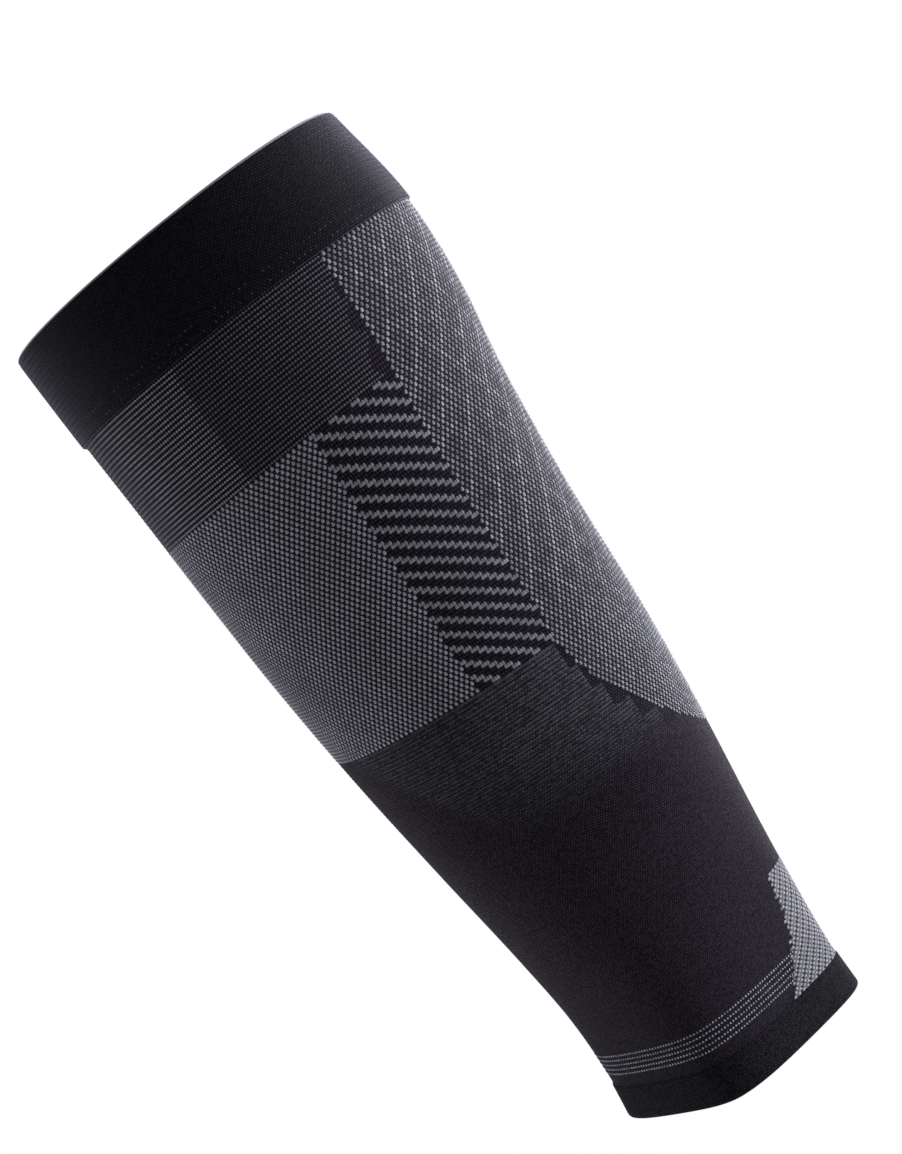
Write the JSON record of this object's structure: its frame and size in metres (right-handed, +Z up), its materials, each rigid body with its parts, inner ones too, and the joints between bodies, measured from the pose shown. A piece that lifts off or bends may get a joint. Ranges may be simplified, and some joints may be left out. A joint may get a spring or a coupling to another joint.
{
  "type": "calf compression sleeve",
  "caption": "Open knitted tube shaped to the lower leg, from above the ankle to below the knee, with a folded cuff and hem and ribbed, speckled and latticed zones.",
  "frame": {"origin": "on the leg's axis, level with the sleeve's lower opening", "axes": "+Z up the leg from ankle to knee, -Y towards the shin, +Y towards the calf"},
  "size_m": [0.1124, 0.1325, 0.3281],
  "materials": {
    "black_knit": "fine matt knit",
    "ribbed_knit": "level ribs",
    "speckled_knit": "bird's-eye knit",
    "slanted_knit": "slanting ribs",
    "lattice_knit": "latticed knit",
    "pale_knit": "dense latticed knit"
  },
  "bodies": {
    "root": {"calf_cuff": "black_knit", "front_band": "ribbed_knit", "shin_panel": "speckled_knit", "side_panel_left": "slanted_knit", "side_panel_right": "slanted_knit", "calf_panel": "lattice_knit", "lower_leg": "black_knit", "heel_panel": "pale_knit", "ankle_hem": "black_knit"}
  },
  "joints": []
}
